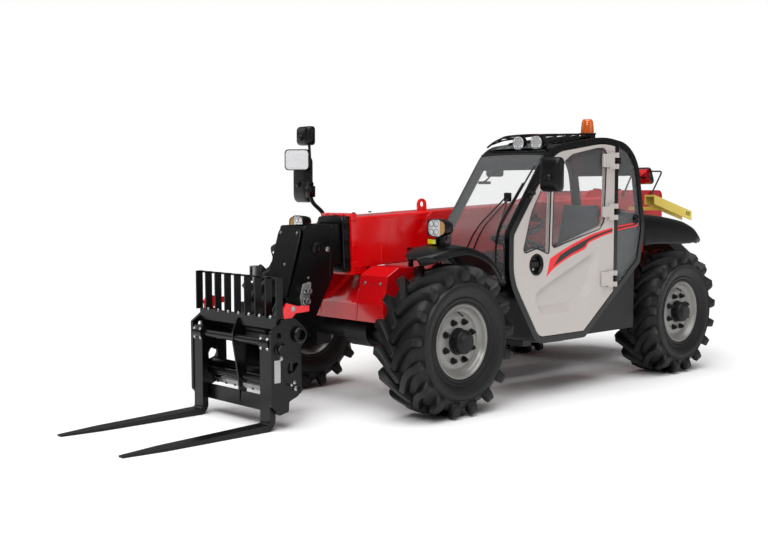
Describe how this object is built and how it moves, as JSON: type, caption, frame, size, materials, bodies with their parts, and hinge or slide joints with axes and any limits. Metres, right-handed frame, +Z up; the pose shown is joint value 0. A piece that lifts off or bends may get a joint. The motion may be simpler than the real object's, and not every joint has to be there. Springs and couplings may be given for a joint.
{
  "type": "telehandler",
  "caption": "Compact telescopic handler on four steered wheels, with a side cab, a two-section boom and a tilting pallet fork carriage.",
  "frame": {"origin": "middle of the whole machine on the ground", "axes": "+X to the machine's left, +Y to its rear, +Z up"},
  "size_m": [2.43, 5.832, 2.0802],
  "materials": {
    "frame_red": "gloss paint",
    "boom_red": "gloss paint",
    "cab_black": "satin paint",
    "carriage_black": "satin paint",
    "axle_black": "satin paint over casting",
    "door_beige": "satin paint",
    "rim_grey": "satin paint",
    "rubber": "matt",
    "plastic_black": "fine grain",
    "glass": "clear",
    "lamp": "clear lens in a black case",
    "orange": "translucent",
    "yellow": "gloss paint",
    "chrome": "polished",
    "engine": "as cast",
    "seat_fabric": "woven"
  },
  "bodies": {
    "chassis": {"chassis_frame": "frame_red", "cross_members": "frame_red", "nose_panels": "frame_red", "engine_block": "engine", "front_axle": "axle_black", "rear_axle": "axle_black", "cab_frame": "cab_black", "windscreen": "glass", "cab_glass": "glass", "seat": "seat_fabric", "steering_column": "plastic_black", "console": "plastic_black", "front_fenders": "plastic_black", "rear_fenders": "plastic_black", "headlamps": "lamp", "roof_lights": "lamp", "mirrors": "plastic_black", "beacon": "orange", "safety_prop": "yellow", "rear_weights": "carriage_black", "side_tank": "plastic_black"},
    "door": {"door": "door_beige", "door_glass": "glass", "door_handle": "plastic_black"},
    "hood": {"engine_hood": "frame_red"},
    "boom": {"outer_boom": "boom_red", "boom_collar": "plastic_black"},
    "telescope": {"inner_boom": "carriage_black", "boom_head": "carriage_black"},
    "carriage": {"hitch_frame": "carriage_black", "carriage_frame": "carriage_black", "backrest": "carriage_black", "fork_left": "carriage_black", "fork_right": "carriage_black", "latch_levers": "frame_red"},
    "lift_barrel": {"lift_barrel": "carriage_black"},
    "lift_rod": {"lift_rod": "chrome"},
    "tilt_barrel": {"tilt_barrel": "carriage_black"},
    "tilt_rod": {"tilt_rod": "chrome"},
    "knuckle_fl": {"knuckle_fl": "axle_black"},
    "wheel_fl": {"tyre_fl": "rubber", "rim_fl": "rim_grey"},
    "knuckle_fr": {"knuckle_fr": "axle_black"},
    "wheel_fr": {"tyre_fr": "rubber", "rim_fr": "rim_grey"},
    "knuckle_rl": {"knuckle_rl": "axle_black"},
    "wheel_rl": {"tyre_rl": "rubber", "rim_rl": "rim_grey"},
    "knuckle_rr": {"knuckle_rr": "axle_black"},
    "wheel_rr": {"tyre_rr": "rubber", "rim_rr": "rim_grey"}
  },
  "joints": [
    {"name": "steer_fl", "type": "hinge", "parent": "chassis", "child": "knuckle_fl", "pos_m": [0.655, -0.696, 0.515], "axis": [0, 0, 1], "range_deg": [-25, 25]},
    {"name": "spin_fl", "type": "hinge", "parent": "knuckle_fl", "child": "wheel_fl", "pos_m": [0.785, -0.696, 0.515], "axis": [1, 0, 0], "continuous": true},
    {"name": "steer_fr", "type": "hinge", "parent": "chassis", "child": "knuckle_fr", "pos_m": [-0.655, -0.696, 0.515], "axis": [0, 0, 1], "range_deg": [-25, 25]},
    {"name": "spin_fr", "type": "hinge", "parent": "knuckle_fr", "child": "wheel_fr", "pos_m": [-0.785, -0.696, 0.515], "axis": [1, 0, 0], "continuous": true},
    {"name": "steer_rl", "type": "hinge", "parent": "chassis", "child": "knuckle_rl", "pos_m": [0.655, 1.994, 0.515], "axis": [0, 0, -1], "range_deg": [-25, 25]},
    {"name": "spin_rl", "type": "hinge", "parent": "knuckle_rl", "child": "wheel_rl", "pos_m": [0.785, 1.994, 0.515], "axis": [1, 0, 0], "continuous": true},
    {"name": "steer_rr", "type": "hinge", "parent": "chassis", "child": "knuckle_rr", "pos_m": [-0.655, 1.994, 0.515], "axis": [0, 0, -1], "range_deg": [-25, 25]},
    {"name": "spin_rr", "type": "hinge", "parent": "knuckle_rr", "child": "wheel_rr", "pos_m": [-0.785, 1.994, 0.515], "axis": [1, 0, 0], "continuous": true},
    {"name": "door_hinge", "type": "hinge", "parent": "chassis", "child": "door", "pos_m": [0.944, 1.046, 1.75], "axis": [0, 0, 1], "range_deg": [0, 110]},
    {"name": "hood_hinge", "type": "hinge", "parent": "chassis", "child": "hood", "pos_m": [-0.231, 2.384, 1.534], "axis": [0, 1, 0], "range_deg": [0, 65]},
    {"name": "boom_lift", "type": "hinge", "parent": "chassis", "child": "boom", "pos_m": [-0.025, 2.654, 1.4], "axis": [-1, 0, 0], "range_deg": [0, 65]},
    {"name": "boom_telescope", "type": "slide", "parent": "boom", "child": "telescope", "axis": [0, -0.9991, -0.0419], "range_m": [0, 2.6]},
    {"name": "carriage_tilt", "type": "hinge", "parent": "telescope", "child": "carriage", "pos_m": [-0.025, -1.496, 0.37], "axis": [1, 0, 0], "range_deg": [-8, 114]},
    {"name": "lift_barrel_swing", "type": "hinge", "parent": "chassis", "child": "lift_barrel", "pos_m": [-0.025, 2.304, 0.75], "axis": [-1, 0, 0], "range_deg": [0, 61.14]},
    {"name": "lift_rod_slide", "type": "slide", "parent": "lift_barrel", "child": "lift_rod", "axis": [0, -0.9889, 0.1483], "range_m": [0, 0.7845]},
    {"name": "tilt_barrel_swing", "type": "hinge", "parent": "telescope", "child": "tilt_barrel", "pos_m": [-0.025, -1.256, 1.13], "axis": [1, 0, 0], "range_deg": [-1, 4]},
    {"name": "tilt_rod_slide", "type": "slide", "parent": "tilt_barrel", "child": "tilt_rod", "axis": [0, -0.4966, -0.868], "range_m": [-0.0291, 0.3623]}
  ],
  "couplings": [
    {"joint": "steer_fr", "follows": "steer_fl", "ratio": 1},
    {"joint": "steer_rl", "follows": "steer_fl", "ratio": 1},
    {"joint": "steer_rr", "follows": "steer_fl", "ratio": 1},
    {"joint": "lift_barrel_swing", "follows": "boom_lift", "ratio": 0.9329},
    {"joint": "lift_rod_slide", "follows": "boom_lift", "m_per_rad": 0.68797},
    {"joint": "tilt_barrel_swing", "follows": "carriage_tilt", "ratio": 0.025},
    {"joint": "tilt_rod_slide", "follows": "carriage_tilt", "m_per_rad": 0.18007}
  ]
}
